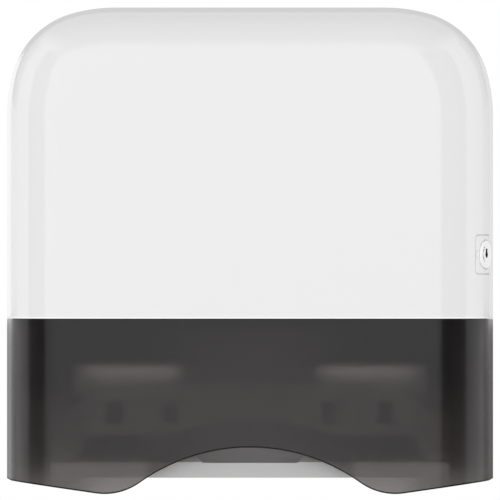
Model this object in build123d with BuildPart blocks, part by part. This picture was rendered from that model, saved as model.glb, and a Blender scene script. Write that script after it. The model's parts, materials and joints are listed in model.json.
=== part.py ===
from build123d import *
import os
from math import asin, cos, degrees, radians, sin, tan

os.makedirs("parts", exist_ok=True)

# Folded towel dispenser for a wall. +Z is up and the front faces -Y. The origin is the centre of the
# four wall screw holes on the wall plane. Heights are first given above the cover's lowest point.

# Cover
width = 300.0
height = 299.0
depth = 102.0
wall = 2.5
draft = 2.6
front_radius = 34.0
corner_side_radius = 98.6
corner_mid_radius = 52.3
corner_side_angle = 16.0
rear_gap = 1.4
seam_height = 107.4
lobe_radius = 37.0
lobe_offset = 89.0
arch_height = 28.4
side_slope = 8.2
rib_thickness = 2.0
edge_break = 0.4

# Hinge
hinge_height = 14.0
hinge_out = 18.0
pin_radius = 2.5
boss_radius = 5.8
ear_radius = 6.2
ear_thickness = 5.0
ear_gap = 0.6
running_gap = 0.05

# Wall panel
panel_thickness = 2.5
panel_gap = 1.2
panel_foot_height = 11.0
rim_depth = 9.0
rim_thickness = 2.0
hole_pitch_x = 200.0
hole_pitch_z = 140.0
lower_hole_height = 100.0
slot_width = 5.5
slot_length = 12.0
pad_margin = 5.0
pad_thickness = 1.5
slide_rib_pitch = 32.0
slide_rib_count = 5
slide_rib_height = 3.0
slide_rib_foot_height = 82.5

# Towel stack and its side guides
guide_margin = 25.0
guide_thickness = 2.2
guide_front_gap = 36.0
guide_foot_height = 60.0
guide_top_gap = 54.0
guide_corner = 8.0
lip_width = 14.0
lip_corner = 2.0
flange_width = 10.0
window_margin = 14.0

# Stack rests
rest_margin = 17.0
rest_width = 68.0
rest_nose_height = 80.0
rest_rise = 6.0
rest_front_gap = 16.0
rest_wall = 2.4
rest_nose_radius = 6.0
rest_apron_height = 20.0
rest_rib_pitch = 4.0
rest_rib_width = 2.0
rest_rib_proud = 0.5
rest_rib_run = 18.0
rest_flange_height = 18.0
rest_screw_drop = 12.0
rest_screw_inset = 17.0
gusset_count = 4

# Outlet tray and front guide
front_gap = 10.0
tray_margin = 28.0
tray_wall = 2.0
skirt_foot_height = 9.9
crease_height = 19.0
lip_height = 24.0
lip_lean = 5.0
tray_flange_height = 32.0
tray_screw_insets = (30.0, 75.0)
notch_half_width = 29.0
notch_flare = 4.6
post_width = 14.0
post_depth = 8.0
plate_thickness = 2.2
plate_margin = 29.0
plate_top_height = 68.5
plate_top_radius = 1500.0
plate_corner_radius = 42.0
plate_corner_turn = 60.0
plate_corner_run = 14.0
slot_margin = 47.0
slot_end_radius = 6.0
slot_shoulder_height = 36.0
slot_crown_height = 46.0
slot_crown_radius = 120.0
slot_crown_turn = 20.0
slot_flare = 30.0
window_width = 10.0
window_height = 14.0
window_middle_height = 49.7
window_offsets = (49.0, 83.0)
peg_radius = 2.0
peg_length = 5.0

# Seam band, bumpers and the spacer clip
band_height = 12.0
band_thickness = 1.5
seat_gap = 0.15
stop_gap = 0.3
bumper_thickness = 1.5
bumper_length = 12.0
bumper_drops = (149.0, 84.0)
stop_reach = 7.0
clip_length = 12.0
clip_width = 10.0
clip_thickness = 8.0
clip_height = 68.0
clip_out = 50.0

# Lock
lock_height = 146.6
lock_turn = 21.7
plate_size = 23.5
plate_corner = 2.5
plate_facing = 1.2
line_gap = 0.3
disc_radius = 8.8
disc_proud = 0.6
disc_thickness = 1.6
disc_break = 0.2
ring_radius = 9.8
notch_radius = 2.6
flange_thickness = 1.1
body_radius = 7.8
body_length = 15.0
shaft_radius = 5.0
lock_boss_radius = 12.0
lock_boss_depth = 5.0
nut_radius = 10.4
nut_thickness = 3.0
nut_flats = 6
cam_thickness = 2.0
cam_width = 8.0
cam_length = 17.0
cam_square = 6.0
cam_hub_radius = 6.0
cam_tip_radius = 2.0
key_radius = 1.5
key_slot = 3.4
key_depth = 6.0
groove_radius = 5.6
groove_width = 0.7
groove_depth = 0.3
groove_arc = 110.0
groove_middle = 90.0
cam_screw_radius = 1.25
cam_screw_head = 4.0
cam_head_thickness = 1.8
cam_screw_length = 6.0

# Catch for the lock cam
strike_thickness = 2.2
strike_clear = 1.6
strike_reach = 6.0
tab_drop = 7.5
strike_base_depth = 20.0
strike_base_height = 22.0
strike_screw_rise = 5.5

# Screws of the inner mouldings
screw_radius = 1.6
screw_head = 3.4
screw_head_thickness = 1.8
screw_length = 4.6
screw_gap = 0.1
long_run = 400.0


def up(height_above):
    """Place of a height above the cover's lowest point."""
    return height_above - lower_hole_height - hole_pitch_z / 2


wall_plane = Plane.XZ
plan_plane = Plane.XY
side_plane = Plane.YZ
hinge_y = -hinge_out
hinge_z = up(hinge_height)
draft_slope = tan(radians(draft))
front_out = depth - front_gap
guide_top_height = height - guide_top_gap
bumper_heights = [height - drop for drop in bumper_drops]


def cover_outline(inset, foot):
    """Front outline: straight flanks, a flat top and three-arc corners, drawn on one half."""
    side = width / 2 - inset
    shrink = radians(corner_side_angle)
    reach = corner_side_radius - (corner_side_radius - corner_mid_radius) * (cos(shrink) - sin(shrink))
    with BuildLine() as half:
        flank = Line((side, foot), (side, up(height) - reach))
        first = JernArc(flank @ 1, flank % 1, corner_side_radius - inset, corner_side_angle)
        middle = JernArc(first @ 1, first % 1, corner_mid_radius - inset, 90 - 2 * corner_side_angle)
        last = JernArc(middle @ 1, middle % 1, corner_side_radius - inset, corner_side_angle)
        Line(last @ 1, (0, (last @ 1).Y))
        Line((0, foot), (side, foot))
        mirror(about=side_plane)
    return half.edges()


def cover_form(inset):
    """Outer form of the closed cover, drawn in by an inset on every side but the wall's."""
    with BuildPart() as form:
        with BuildSketch(wall_plane.offset(rear_gap)):
            make_face(cover_outline(inset, up(-front_radius)))
        extrude(amount=depth - rear_gap - inset, taper=draft)
        front = form.faces().sort_by(Axis.Y)[0]
        fillet(front.edges().sort_by(Axis.Z)[1:], radius=front_radius - inset)
    return form.part


outer_form = cover_form(0)
inner_form = cover_form(wall)

with BuildPart() as wave_cutter:
    with BuildSketch(wall_plane):
        with BuildLine():
            both_radii = (lobe_offset**2 + arch_height**2) / (2 * arch_height)
            arch_turn = degrees(asin(lobe_offset / both_radii))
            arch = JernArc((0, up(arch_height)), (1, 0), both_radii - lobe_radius, -arch_turn)
            lobe = JernArc(arch @ 1, arch % 1, lobe_radius, arch_turn + side_slope)
            slope = PolarLine(lobe @ 1, width, side_slope)
            Polyline(slope @ 1, ((slope @ 1).X, up(-height)), (0, up(-height)))
            mirror(about=side_plane)
        make_face()
    extrude(amount=long_run, both=True)

# Lock place: a line square to the flank's rounding, found on the outer form
lock_axis = Vector(cos(radians(lock_turn)), -sin(radians(lock_turn)), 0)
rounding_x = width / 2 - (depth - front_radius) * draft_slope - front_radius / cos(radians(draft))
lock_ray = Axis((rounding_x, front_radius - depth, up(lock_height)), lock_axis)
lock_spot = max((hit[0] for hit in outer_form.find_intersection_points(lock_ray)), key=lambda p: p.X)
lock_plane = Plane(origin=lock_spot, x_dir=(0, 0, 1), z_dir=lock_axis)
lock_line = Axis(lock_spot, lock_axis)


def lock_cylinder(radius, low, high):
    """Round bar on the lock axis between two places along it, measured outward from the flank."""
    with BuildPart() as bar:
        with BuildSketch(lock_plane.offset(low)):
            Circle(radius)
        extrude(amount=high - low)
    return bar.part


def lock_square(gap, low, high):
    """Rounded square bar on the lock axis, widened by a gap."""
    with BuildPart() as bar:
        with BuildSketch(lock_plane.offset(low)):
            RectangleRounded(plate_size + 2 * gap, plate_size + 2 * gap, plate_corner + gap)
        extrude(amount=high - low)
    return bar.part


def between(low, high):
    """Slab of all that lies between two heights."""
    with BuildPart() as slab:
        with BuildSketch(plan_plane.offset(low)):
            Rectangle(long_run, long_run)
        extrude(amount=high - low)
    return slab.part


def finish(builder, name):
    """Label a piece and write its file."""
    builder.part.label = name
    export_step(builder.part, f"parts/{name}.step")


ring_floor = disc_proud - disc_thickness - flange_thickness
facing_form = cover_form(plate_facing)
pocket_form = cover_form(plate_facing + seat_gap)

# Upper cover: white shell with the lock boss and two stop ribs on each flank
inner_flank = width / 2 - wall
rib_front = rim_depth + bumper_thickness + stop_gap
with BuildPart() as upper_cover:
    add(outer_form)
    add(inner_form, mode=Mode.SUBTRACT)
    for rib_height in bumper_heights:
        for hand in (1, -1):
            with BuildSketch(plan_plane.offset(up(rib_height))):
                with Locations((hand * (inner_flank + wall / 2), -rib_front)):
                    Rectangle(2 * stop_reach + wall, rib_thickness, align=(Align.CENTER, Align.MAX))
            extrude(amount=bumper_length / 2, both=True)
    add(lock_cylinder(lock_boss_radius, -lock_boss_depth, 0))
    add(outer_form, mode=Mode.INTERSECT)
    add(between(up(seam_height), up(height + wall)), mode=Mode.INTERSECT)
    add(lock_square(line_gap, -lock_boss_depth, wall) - pocket_form, mode=Mode.SUBTRACT)
    add(lock_cylinder(ring_radius, ring_floor, wall), mode=Mode.SUBTRACT)
    add(lock_cylinder(body_radius + seat_gap, -body_length, wall), mode=Mode.SUBTRACT)

# Lower cover: smoke shell with the waved bottom edge and the two hinge bosses
boss_face = width / 2 - wall - hinge_out * draft_slope - ear_gap
boss_inner = boss_face - rib_thickness
with BuildPart() as lower_cover:
    add(outer_form)
    add(inner_form, mode=Mode.SUBTRACT)
    with BuildSketch(side_plane.offset(boss_inner)):
        with Locations((hinge_y, hinge_z)):
            Circle(boss_radius)
    bosses = extrude(amount=width / 2 - boss_inner)
    mirror(bosses, about=side_plane)
    add(outer_form, mode=Mode.INTERSECT)
    with BuildSketch(side_plane.offset(boss_inner)):
        with Locations((hinge_y, hinge_z)):
            Circle(pin_radius)
    sockets = extrude(amount=wall + rib_thickness / 2, mode=Mode.SUBTRACT)
    mirror(sockets, about=side_plane, mode=Mode.SUBTRACT)
    add(between(up(-front_radius), up(seam_height)), mode=Mode.INTERSECT)
    add(wave_cutter.part, mode=Mode.SUBTRACT)

# Seam band: strip inside the flanks and the front that holds the two shells together
band_outer = cover_form(wall + seat_gap)
band_inner = cover_form(wall + seat_gap + band_thickness)
with BuildPart() as seam_band:
    add(band_outer)
    add(band_inner, mode=Mode.SUBTRACT)
    add(between(up(seam_height - band_height / 2), up(seam_height + band_height / 2)), mode=Mode.INTERSECT)
    with BuildSketch(wall_plane):
        Rectangle(long_run, long_run)
    extrude(amount=rib_front + band_height, mode=Mode.SUBTRACT)

# Hinge pins: pressed in the cover's bosses and turning in the panel's ears
ear_outer = boss_inner - ear_gap
pin_inner = ear_outer - ear_thickness - ear_gap
for hand, name in ((-1, "hinge_pin_left"), (1, "hinge_pin_right")):
    with BuildPart() as hinge_pin:
        with BuildSketch(side_plane.offset(hand * pin_inner)):
            with Locations((hinge_y, hinge_z)):
                Circle(pin_radius)
        extrude(amount=hand * (boss_inner + wall + rib_thickness / 2 - pin_inner))
        chamfer(hinge_pin.edges().group_by(Axis.X)[0 if hand > 0 else -1], length=edge_break)
    finish(hinge_pin, name)


# Wall panel: plate with a rim, four slotted screw pads, slide ribs and the hinge ears
panel_side = wall + panel_gap
with BuildPart() as back_panel:
    with BuildSketch(wall_plane):
        make_face(cover_outline(panel_side, up(panel_foot_height)))
    extrude(amount=rim_depth)
    with BuildSketch(wall_plane.offset(panel_thickness)):
        make_face(cover_outline(panel_side + rim_thickness, up(panel_foot_height + rim_thickness)))
    extrude(amount=rim_depth, mode=Mode.SUBTRACT)
    with BuildSketch(wall_plane.offset(panel_thickness)):
        with GridLocations(hole_pitch_x, hole_pitch_z, 2, 2):
            SlotOverall(slot_length + 2 * pad_margin, slot_width + 2 * pad_margin)
    extrude(amount=pad_thickness)
    ribs_top = up(guide_top_height)
    ribs_foot = up(slide_rib_foot_height)
    with BuildSketch(wall_plane.offset(panel_thickness)):
        with Locations((0, (ribs_top + ribs_foot) / 2)):
            with GridLocations(slide_rib_pitch, 0, slide_rib_count, 1):
                SlotOverall(ribs_top - ribs_foot, rib_thickness, rotation=90)
    extrude(amount=slide_rib_height)
    with BuildSketch(side_plane.offset(ear_outer - ear_thickness)):
        with BuildLine():
            ear_top = Line((0, hinge_z + 2 * ear_radius), (-panel_thickness, hinge_z + 2 * ear_radius))
            ear_slope = Line(ear_top @ 1, (hinge_y, hinge_z + ear_radius))
            ear_tip = (hinge_y - ear_radius, hinge_z)
            ear_end = ThreePointArc(ear_slope @ 1, ear_tip, (hinge_y, hinge_z - ear_radius))
            ear_heel = (-panel_thickness, up(panel_foot_height))
            Polyline(ear_end @ 1, ear_heel, (0, up(panel_foot_height)), ear_top @ 0)
        make_face()
        with Locations((hinge_y, hinge_z)):
            Circle(pin_radius + running_gap, mode=Mode.SUBTRACT)
    ears = extrude(amount=ear_thickness)
    mirror(ears, about=side_plane)
    with BuildSketch(wall_plane):
        with GridLocations(hole_pitch_x, hole_pitch_z, 2, 2):
            SlotOverall(slot_length, slot_width)
    extrude(amount=rim_depth, mode=Mode.SUBTRACT)

# Side guides: channels on the panel with a window, a front lip and a screwed rear flange
guide_inner = width / 2 - guide_margin
guide_outer = guide_inner + guide_thickness
guide_front = guide_front_gap - depth
guide_depth = -guide_front - panel_thickness
guide_middle = up((guide_foot_height + guide_top_height) / 2)
guide_height = guide_top_height - guide_foot_height
screw_out = guide_outer + flange_width / 2
guide_screw_heights = (guide_foot_height + guide_corner * 2, guide_top_height - guide_corner * 2)
strike_window_gap = lock_height + cam_length
with BuildPart() as side_guide_right:
    with BuildSketch(side_plane.offset(guide_inner)):
        with Locations((-panel_thickness - guide_depth / 2, guide_middle)):
            RectangleRounded(guide_depth, guide_height, guide_corner)
        with Locations((-panel_thickness, guide_middle)):
            Rectangle(guide_corner * 2, guide_height, align=(Align.MAX, Align.CENTER))
        for low, high in (
            (guide_foot_height + window_margin, lock_height - window_margin),
            (strike_window_gap + window_margin, guide_top_height - window_margin),
        ):
            window_depth = guide_depth - 2 * window_margin
            with Locations((-panel_thickness - guide_depth / 2, up((low + high) / 2))):
                RectangleRounded(window_depth, high - low, guide_corner, mode=Mode.SUBTRACT)
    extrude(amount=guide_thickness)
    with BuildSketch(wall_plane.offset(-guide_front - guide_thickness)):
        with Locations((guide_inner - lip_width, guide_middle)):
            RectangleRounded(
                lip_width + guide_thickness,
                guide_height - 2 * guide_corner,
                lip_corner,
                align=(Align.MIN, Align.CENTER),
            )
    extrude(amount=guide_thickness)
    with BuildSketch(wall_plane.offset(panel_thickness)):
        with Locations((guide_inner, guide_middle)):
            Rectangle(flange_width + guide_thickness, guide_height, align=(Align.MIN, Align.CENTER))
        for screw_height in guide_screw_heights:
            with Locations((screw_out, up(screw_height))):
                Circle(screw_radius + screw_gap, mode=Mode.SUBTRACT)
    extrude(amount=guide_thickness)
with BuildPart() as side_guide_left:
    mirror(side_guide_right.part, about=side_plane)

# Stack rests: ribbed shelves that rise to a rounded nose, with an apron, gussets and a flange
rest_inner = guide_inner - rest_margin - rest_width
rest_front = rest_front_gap - depth
rest_rear_height = rest_nose_height - rest_rise


def rest_skin(grown):
    """Middle line of a rest's skin, from the panel over the nose and down the apron, grown outward."""
    rear = Vector(-panel_thickness, up(rest_rear_height) - rest_wall / 2 + grown)
    nose = Vector(rest_front + rest_wall / 2 - grown, up(rest_nose_height) - rest_wall / 2 + grown)
    apron = Vector(nose.X, up(rest_nose_height - rest_apron_height))
    with BuildLine() as path:
        FilletPolyline(rear, nose, apron, radius=rest_nose_radius - rest_wall / 2 + grown)
    return path.edges()


rest_screw_height = rest_rear_height - rest_screw_drop
rest_screws_at = (rest_inner + rest_screw_inset, rest_inner + rest_width - rest_screw_inset)
with BuildPart() as stack_rest_right:
    with BuildSketch(side_plane.offset(rest_inner)):
        trace(rest_skin(0), rest_wall)
        Rectangle(2 * panel_thickness, long_run, align=(Align.MIN, Align.CENTER), mode=Mode.SUBTRACT)
        with Locations((-panel_thickness, 0)):
            Rectangle(panel_thickness, long_run, align=(Align.MIN, Align.CENTER), mode=Mode.SUBTRACT)
    extrude(amount=rest_width)
    for number in range(gusset_count):
        gusset_x = rest_inner + number * (rest_width - rib_thickness) / (gusset_count - 1)
        with BuildSketch(side_plane.offset(gusset_x)):
            with BuildLine():
                Polyline(
                    (-panel_thickness, up(rest_rear_height) - rest_wall),
                    (rest_front + rest_nose_radius, up(rest_nose_height) - rest_wall),
                    (rest_front + rest_wall, up(rest_nose_height) - rest_nose_radius),
                    (rest_front + rest_wall, up(rest_nose_height - rest_apron_height)),
                    (-panel_thickness, up(rest_rear_height - rest_flange_height)),
                    close=True,
                )
            make_face()
        extrude(amount=rib_thickness)
    with BuildSketch(wall_plane.offset(panel_thickness)):
        with Locations((rest_inner, up(rest_rear_height) - rest_wall / 2)):
            Rectangle(rest_width, rest_flange_height - rest_wall / 2, align=(Align.MIN, Align.MAX))
        for screw_x in rest_screws_at:
            with Locations((screw_x, up(rest_screw_height))):
                Circle(screw_radius + screw_gap, mode=Mode.SUBTRACT)
    extrude(amount=guide_thickness)
    for number in range(int(rest_width / rest_rib_pitch)):
        with BuildSketch(side_plane.offset(rest_inner + rest_rib_width / 2 + number * rest_rib_pitch)):
            trace(rest_skin(rest_rib_proud), rest_wall)
            with Locations((rest_front + rest_rib_run, 0)):
                Rectangle(long_run, long_run, align=(Align.MIN, Align.CENTER), mode=Mode.SUBTRACT)
        extrude(amount=rest_rib_width)
with BuildPart() as stack_rest_left:
    mirror(stack_rest_right.part, about=side_plane)

# Outlet tray: floor, skirt, leaning lip with a trapezoid notch, end walls, posts and a flange
tray_front = -front_out
tray_half_width = width / 2 - tray_margin
lip_y = tray_front + lip_lean
floor_front_height = skirt_foot_height + tray_wall
floor_rear_height = panel_foot_height + rim_thickness + tray_wall / 2 + stop_gap
with BuildPart() as outlet_tray:
    with BuildSketch(side_plane.offset(-tray_half_width)):
        with BuildLine() as tray_line:
            Polyline(
                (tray_front + tray_wall / 2, up(skirt_foot_height)),
                (tray_front + tray_wall / 2, up(crease_height)),
                (lip_y + tray_wall / 2, up(lip_height) - tray_wall / 2),
            )
        trace(tray_line.edges(), tray_wall)
        with BuildLine() as floor_line:
            Polyline(
                (tray_front + tray_wall / 2, up(floor_front_height)),
                (-panel_thickness - tray_wall / 2, up(floor_rear_height)),
                (-panel_thickness - tray_wall / 2, up(tray_flange_height)),
            )
        trace(floor_line.edges(), tray_wall)
        with Locations((0, up(skirt_foot_height))):
            Rectangle(long_run, crease_height, align=(Align.CENTER, Align.MAX), mode=Mode.SUBTRACT)
        with Locations((-panel_thickness, 0)):
            Rectangle(crease_height, long_run, align=(Align.MIN, Align.CENTER), mode=Mode.SUBTRACT)
    extrude(amount=2 * tray_half_width)
    with BuildSketch(wall_plane.offset(front_out - 2 * lip_lean)):
        with BuildLine():
            notch_top = notch_half_width + notch_flare * (lip_height + tray_wall - crease_height) / lip_lean
            Polyline(
                (0, up(crease_height)),
                (notch_half_width, up(crease_height)),
                (notch_top, up(lip_height + tray_wall)),
                (0, up(lip_height + tray_wall)),
            )
            mirror(about=side_plane)
        make_face()
    extrude(amount=long_run, mode=Mode.SUBTRACT)
    with BuildSketch(side_plane.offset(tray_half_width - tray_wall)):
        with BuildLine():
            Polyline(
                (tray_front + tray_wall, up(floor_front_height)),
                (tray_front + tray_wall, up(crease_height)),
                (lip_y + tray_wall, up(lip_height) - tray_wall),
                (-panel_thickness - tray_wall, up(tray_flange_height) - tray_wall),
                (-panel_thickness - tray_wall, up(floor_rear_height)),
                close=True,
            )
        make_face()
    end_wall = extrude(amount=tray_wall)
    mirror(end_wall, about=side_plane)
    post_top = up(window_middle_height)
    with BuildSketch(wall_plane.offset(front_out - plate_thickness - post_depth)):
        with Locations((tray_half_width - post_width, up(floor_front_height))):
            Rectangle(post_width, post_top - up(floor_front_height), align=(Align.MIN, Align.MIN))
        with Locations((tray_half_width - post_width / 2, post_top - post_width / 2)):
            Circle(peg_radius, mode=Mode.SUBTRACT)
    post = extrude(amount=post_depth)
    mirror(post, about=side_plane)
    tray_screw_z = up(tray_flange_height) - screw_head - tray_wall
    tray_screws_at = [tray_half_width - inset for inset in tray_screw_insets]
    with BuildSketch(wall_plane.offset(panel_thickness)):
        for screw_x in tray_screws_at:
            for hand in (1, -1):
                with Locations((hand * screw_x, tray_screw_z)):
                    Circle(screw_radius + screw_gap)
    extrude(amount=tray_wall, mode=Mode.SUBTRACT)

# Front guide: arched plate on the tray's posts, with four windows, over the outlet gap
plate_half_width = width / 2 - plate_margin
slot_half_width = width / 2 - slot_margin
slot_foot = up(lip_height) - slot_end_radius
with BuildPart() as front_guide:
    with BuildSketch(wall_plane.offset(front_out - plate_thickness)):
        with BuildLine():
            crown_turn = degrees(asin((plate_half_width - plate_corner_radius) / plate_top_radius))
            crown = JernArc((0, up(plate_top_height)), (1, 0), plate_top_radius, -crown_turn)
            shoulder = JernArc(crown @ 1, crown % 1, plate_corner_radius, -plate_corner_turn)
            Polyline(
                shoulder @ 1,
                (plate_half_width, (shoulder @ 1).Y - plate_corner_run),
                (plate_half_width, up(lip_height) + stop_gap),
                (0, up(lip_height) + stop_gap),
            )
            mirror(about=side_plane)
        make_face()
        with BuildLine():
            dome = JernArc((0, up(slot_crown_height)), (1, 0), slot_crown_radius, -slot_crown_turn)
            flare_end = ((dome @ 1).X + slot_flare, up(slot_shoulder_height))
            flare = TangentArc(dome @ 1, flare_end, tangent=dome % 1)
            level = Line(flare @ 1, (slot_half_width - slot_end_radius, up(slot_shoulder_height)))
            slot_side = (slot_half_width, up(slot_shoulder_height) - slot_end_radius)
            end_arc = RadiusArc(level @ 1, slot_side, slot_end_radius)
            Polyline(end_arc @ 1, (slot_half_width, slot_foot), (0, slot_foot))
            mirror(about=side_plane)
        make_face(mode=Mode.SUBTRACT)
        for window_x in window_offsets:
            for hand in (1, -1):
                with Locations((hand * window_x, up(window_middle_height))):
                    RectangleRounded(window_width, window_height, plate_thickness / 2, mode=Mode.SUBTRACT)
    extrude(amount=plate_thickness)
    with BuildSketch(wall_plane.offset(front_out - plate_thickness - peg_length)):
        with Locations((tray_half_width - post_width / 2, post_top - post_width / 2)):
            Circle(peg_radius)
    peg = extrude(amount=peg_length)
    mirror(peg, about=side_plane)

# Bumpers: four pads on the panel's rim, in front of which the cover's stop ribs come to rest
bumper_x = width / 2 - panel_side - rim_thickness / 2
with BuildPart() as bumpers:
    with BuildSketch(wall_plane.offset(rim_depth)):
        for rib_height in bumper_heights:
            for hand in (1, -1):
                with Locations((hand * bumper_x, up(rib_height))):
                    Rectangle(rim_thickness, bumper_length)
    extrude(amount=bumper_thickness)
    chamfer(bumpers.faces().filter_by(Axis.Y).group_by(Axis.Y)[0].edges(), length=edge_break)

# Width clip: block parked on the outside of the left side guide
with BuildPart() as width_clip:
    with BuildSketch(side_plane.offset(-guide_outer)):
        with Locations((-clip_out, up(clip_height))):
            RectangleRounded(clip_width, clip_thickness, rib_thickness / 2)
    extrude(amount=-clip_length)
    with BuildSketch(side_plane.offset(-guide_outer - rib_thickness)):
        with Locations((-clip_out, up(clip_height))):
            Rectangle(clip_width / 2, clip_thickness)
    extrude(amount=rib_thickness - clip_length, mode=Mode.SUBTRACT)

# Lock plate: rounded square facing in the flank, with the ring opening and a finger notch
with BuildPart() as lock_escutcheon:
    add(lock_square(0, -lock_boss_depth, wall))
    add(outer_form, mode=Mode.INTERSECT)
    add(facing_form, mode=Mode.SUBTRACT)
    add(lock_cylinder(ring_radius, -lock_boss_depth, wall), mode=Mode.SUBTRACT)
    with BuildSketch(lock_plane.offset(-lock_boss_depth)):
        with Locations((0, ring_radius)):
            Circle(notch_radius)
    extrude(amount=lock_boss_depth + wall, mode=Mode.SUBTRACT)

# Lock housing: flanged barrel through the flank, held by a nut on the boss inside
with BuildPart() as lock_housing:
    with BuildSketch(lock_plane.offset(ring_floor)):
        Circle(ring_radius - seat_gap)
    extrude(amount=flange_thickness)
    with BuildSketch(lock_plane.offset(ring_floor)):
        Circle(body_radius)
    extrude(amount=-(body_length + ring_floor))
    with BuildSketch(lock_plane.offset(-body_length)):
        Circle(shaft_radius + running_gap)
    extrude(amount=body_length + disc_proud, mode=Mode.SUBTRACT)

with BuildPart() as lock_nut:
    with BuildSketch(lock_plane.offset(-lock_boss_depth)):
        RegularPolygon(nut_radius, nut_flats)
        Circle(body_radius + running_gap, mode=Mode.SUBTRACT)
    extrude(amount=-nut_thickness)

# Lock barrel: disc with its keyhole and groove, a shaft and a square end for the cam
disc_face = lock_plane.offset(disc_proud)
square_end = body_length + cam_thickness + seat_gap
with BuildPart() as lock_barrel:
    with BuildSketch(disc_face):
        Circle(disc_radius)
    extrude(amount=seat_gap - disc_thickness)
    chamfer(lock_barrel.edges().group_by(lock_line)[-1], length=disc_break)
    with BuildSketch(lock_plane.offset(ring_floor + flange_thickness + seat_gap)):
        Circle(shaft_radius)
    extrude(amount=-(body_length + ring_floor + flange_thickness + seat_gap))
    with BuildSketch(lock_plane.offset(-body_length)):
        Rectangle(cam_square, cam_square)
    extrude(amount=body_length - square_end)
    with BuildSketch(disc_face):
        Circle(key_radius)
        with Locations((key_slot / 2, 0)):
            Rectangle(key_slot, key_radius)
    extrude(amount=-key_depth, mode=Mode.SUBTRACT)
    with BuildSketch(disc_face):
        with BuildLine() as groove_line:
            CenterArc((0, 0), groove_radius, groove_middle - groove_arc / 2, groove_arc)
        trace(groove_line.edges(), groove_width)
    extrude(amount=-groove_depth, mode=Mode.SUBTRACT)
    with BuildSketch(lock_plane.offset(-square_end)):
        Circle(cam_screw_radius)
    extrude(amount=cam_screw_length, mode=Mode.SUBTRACT)

# Lock cam: tongue that points to the wall when open and up behind the catch when locked
cam_plane = lock_plane.offset(-body_length - seat_gap)
with BuildPart() as lock_cam:
    with BuildSketch(cam_plane):
        Circle(cam_hub_radius)
        with Locations((0, -cam_length / 2)):
            Rectangle(cam_width, cam_length)
        Rectangle(cam_square + 2 * running_gap, cam_square + 2 * running_gap, mode=Mode.SUBTRACT)
    extrude(amount=-cam_thickness)
    tip_edges = lock_cam.edges().filter_by(lock_line).sort_by(Axis.Y)[-2:]
    fillet(tip_edges, radius=cam_tip_radius)

with BuildPart() as cam_screw:
    with BuildSketch(lock_plane.offset(-square_end)):
        Circle(cam_screw_head)
    extrude(amount=-cam_head_thickness)
    with BuildSketch(lock_plane.offset(-square_end)):
        Circle(cam_screw_radius)
    extrude(amount=cam_screw_length)

# Catch: hooked plate on the right side guide, with its tab in front of the locked tongue
cam_spot = lock_spot - lock_axis * square_end
tongue_front = cam_spot.Y - cam_width / 2
tab_rear = tongue_front - strike_clear
tab_outer = cam_spot.X + strike_reach
catch_foot = up(lock_height) + cam_length - tab_drop
catch_top = up(lock_height) + cam_length + strike_clear + strike_thickness
base_rear = guide_front + strike_base_depth
strike_screws_at = (guide_front + strike_base_depth / 2, catch_top + strike_screw_rise)
with BuildPart() as strike_plate:
    with BuildSketch(side_plane.offset(guide_outer)):
        with BuildLine():
            Polyline(
                (base_rear, catch_top + strike_base_height / 2),
                (base_rear, catch_top - strike_base_height / 2),
                (guide_front + strike_thickness, catch_top - strike_base_height / 2),
                (guide_front + strike_thickness, catch_top - strike_thickness),
                (tab_rear - strike_thickness, catch_top - strike_thickness),
                (tab_rear - strike_thickness, catch_top),
                (guide_front + strike_thickness, catch_top + strike_base_height / 2),
                close=True,
            )
        make_face()
        with Locations(strike_screws_at):
            Circle(screw_radius + screw_gap, mode=Mode.SUBTRACT)
    extrude(amount=strike_thickness)
    with BuildSketch(side_plane.offset(guide_outer)):
        with BuildLine():
            Polyline(
                (guide_front, catch_top),
                (guide_front, catch_top - strike_thickness),
                (tab_rear, catch_top - strike_thickness),
                (tab_rear, catch_foot),
                (tab_rear - strike_thickness, catch_foot),
                (tab_rear - strike_thickness, catch_top),
                close=True,
            )
        make_face()
    extrude(amount=tab_outer - guide_outer)


def pan_screw(seat, length, head_thickness):
    """Bevel-headed screw whose head rests on a seat plane, with its shank through that plane."""
    with BuildPart() as screw:
        with BuildSketch(seat):
            Circle(screw_head)
        extrude(amount=head_thickness)
        chamfer(screw.edges().group_by(Axis(seat.origin, seat.z_dir))[-1], length=head_thickness / 2)
        with BuildSketch(seat):
            Circle(screw_radius)
        extrude(amount=-length)
    return screw.part


def screw_group(seats, length):
    """Group of identical screws, one on each seat plane."""
    with BuildPart() as group:
        for seat in seats:
            add(pan_screw(seat, length, screw_head_thickness))
    return group


guide_seat = wall_plane.offset(panel_thickness + guide_thickness)
tray_seat = wall_plane.offset(panel_thickness + tray_wall)


def seats_on(plane, places):
    """Seat planes on a plane at its own places and at their mirror places."""
    spots = [plane.x_dir * hand * x + plane.y_dir * z for x, z in places for hand in (1, -1)]
    return [Plane(plane.origin + spot, x_dir=plane.x_dir, z_dir=plane.z_dir) for spot in spots]


guide_screws_at = [(screw_out, up(z)) for z in guide_screw_heights]
guide_screws = screw_group(seats_on(guide_seat, guide_screws_at), screw_length)
rest_seats = seats_on(guide_seat, [(x, up(rest_screw_height)) for x in rest_screws_at])
rest_screws = screw_group(rest_seats, screw_length)
tray_screws = screw_group(seats_on(tray_seat, [(x, tray_screw_z) for x in tray_screws_at]), screw_length)
strike_seat = Plane((guide_outer + strike_thickness, *strike_screws_at), x_dir=(0, 1, 0), z_dir=(1, 0, 0))
strike_screws = screw_group([strike_seat], strike_thickness + guide_thickness)

# Pilot holes: each screw cuts its own seat in the piece behind
with back_panel:
    for group in (guide_screws, rest_screws, tray_screws):
        add(group.part, mode=Mode.SUBTRACT)
with side_guide_right:
    add(strike_screws.part, mode=Mode.SUBTRACT)

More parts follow.
